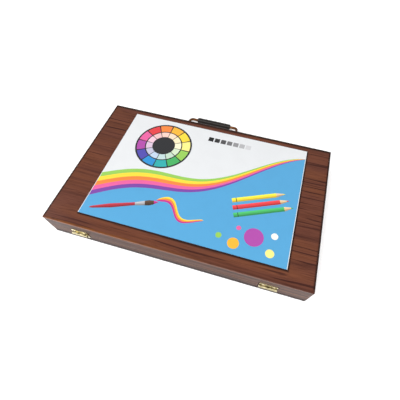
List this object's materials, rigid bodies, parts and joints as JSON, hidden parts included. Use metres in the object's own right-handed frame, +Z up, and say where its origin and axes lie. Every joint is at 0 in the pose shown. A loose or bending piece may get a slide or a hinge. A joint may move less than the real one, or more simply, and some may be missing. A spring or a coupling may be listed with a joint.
{
  "type": "art case",
  "caption": "Flat wooden art case with a hinged lid, two latches, a swinging wire handle and fitted trays of pencils, pastels and paints.",
  "frame": {"origin": "centre of the wooden underside, which stands on the table", "axes": "+Z up, +X along the long sides, +Y from the hinges towards the handle and the latches"},
  "size_m": [0.38, 0.2888, 0.0452],
  "materials": {
    "walnut": "glossy lacquered veneer",
    "brass": "bright plated",
    "bail_brass": "antique",
    "card": "printed, glossy",
    "grip_plastic": "satin",
    "tray_plastic": "satin",
    "pastel": "waxy",
    "wrapper": "plain",
    "cake": "chalky",
    "pencil_wood": "painted",
    "coloured_lead": "waxy",
    "graphite": "dull",
    "brush_wood": "lacquered",
    "ferrule": "polished",
    "tuft": "hair",
    "sharpener_plastic": "glossy",
    "blade_steel": "bright",
    "eraser_rubber": "matt",
    "pale_wood": "bare",
    "abrasive": "gritty"
  },
  "bodies": {
    "base": {"base_front_wall": "walnut", "base_rear_wall": "walnut", "base_left_wall": "walnut", "base_right_wall": "walnut", "bottom_panel": "walnut", "hinge_left_base_leaf": "brass", "hinge_right_base_leaf": "brass", "hinge_left_pin": "brass", "hinge_right_pin": "brass", "hinge_base_screws": "brass", "latch_left_base_plate": "brass", "latch_right_base_plate": "brass", "latch_left_pin": "brass", "latch_right_pin": "brass", "latch_base_nails": "brass", "handle_left_bracket": "brass", "handle_right_bracket": "brass", "handle_bracket_screws": "brass", "base_tray": "tray_plastic", "pastel_sticks": "pastel", "pastel_wrappers": "wrapper", "paint_cakes": "cake"},
    "lid": {"lid_front_wall": "walnut", "lid_rear_wall": "walnut", "lid_left_wall": "walnut", "lid_right_wall": "walnut", "top_panel": "walnut", "label_card": "card", "hinge_left_lid_leaf": "brass", "hinge_right_lid_leaf": "brass", "hinge_lid_screws": "brass", "latch_left_keeper": "brass", "latch_right_keeper": "brass", "latch_keeper_nails": "brass", "lid_tray": "tray_plastic", "colour_pencil_barrels": "pencil_wood", "colour_pencil_leads": "coloured_lead", "graphite_pencil_barrels": "pencil_wood", "graphite_pencil_leads": "graphite", "brush_handles": "brush_wood", "brush_ferrules": "ferrule", "brush_tufts": "tuft", "sharpener_body": "sharpener_plastic", "sharpener_blade": "blade_steel", "sharpener_screw": "blade_steel", "eraser": "eraser_rubber", "sanding_block": "pale_wood", "abrasive_sheet": "abrasive"},
    "handle": {"handle_bail": "bail_brass", "handle_grip": "grip_plastic"},
    "latch_left": {"latch_left_tongue": "brass"},
    "latch_right": {"latch_right_tongue": "brass"}
  },
  "joints": [
    {"name": "lid_hinge", "type": "hinge", "parent": "base", "child": "lid", "pos_m": [0, -0.12005, 0.01965], "axis": [1, 0, 0], "range_deg": [0, 105]},
    {"name": "handle_swing", "type": "hinge", "parent": "base", "child": "handle", "pos_m": [-0.022, 0.1225, 0.01], "axis": [1, 0, 0], "range_deg": [0, 96]},
    {"name": "latch_left_swing", "type": "hinge", "parent": "base", "child": "latch_left", "pos_m": [-0.13, 0.11965, 0.0145], "axis": [-1, 0, 0], "range_deg": [0, 120]},
    {"name": "latch_right_swing", "type": "hinge", "parent": "base", "child": "latch_right", "pos_m": [0.13, 0.11965, 0.0145], "axis": [-1, 0, 0], "range_deg": [0, 120]}
  ]
}
